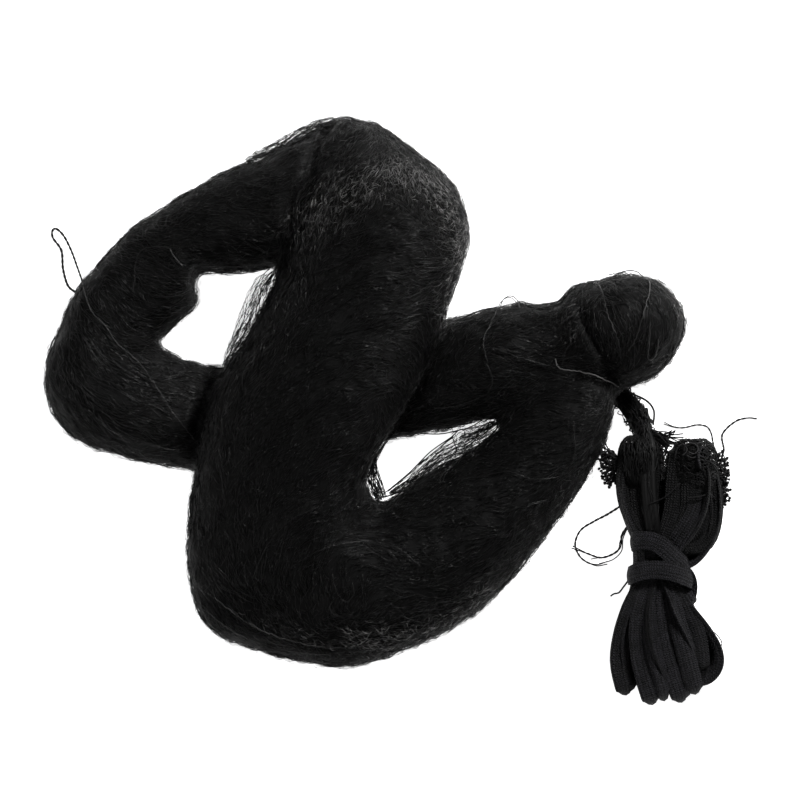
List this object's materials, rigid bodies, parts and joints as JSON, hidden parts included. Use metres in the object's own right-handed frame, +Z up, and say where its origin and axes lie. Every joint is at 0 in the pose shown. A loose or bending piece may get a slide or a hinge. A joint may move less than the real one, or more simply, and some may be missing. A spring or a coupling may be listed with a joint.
{
  "type": "bird netting hank",
  "caption": "Fine black mesh bird net gathered into a thick soft rope and laid as a twisted loop, with its knitted edge tape tied in a hank beside it.",
  "frame": {"origin": "on the surface it lies on, under the middle of the net, its tape hank and the twine tufts", "axes": "+X along the longest way of the layout towards the wound knob, +Y towards the folded top, +Z up from the surface"},
  "size_m": [0.3028, 0.2495, 0.0579],
  "materials": {
    "net_nylon": "soft sheen of fine knotted nylon mesh",
    "tape_knit": "matte knitted tape",
    "selvage_twine": "matte twisted twine"
  },
  "bodies": {
    "root": {"net_hank": "net_nylon", "selvage_neck": "net_nylon", "tape_hank": "tape_knit", "tape_tie": "tape_knit", "selvage_tuft_left": "selvage_twine", "selvage_tuft_top_right": "selvage_twine", "selvage_tuft_low_right": "selvage_twine", "thread_loop_left": "selvage_twine", "twine_end_left_long": "selvage_twine", "twine_end_left_short": "selvage_twine", "twine_end_top_inner": "selvage_twine", "twine_end_top_outer": "selvage_twine"}
  },
  "joints": []
}
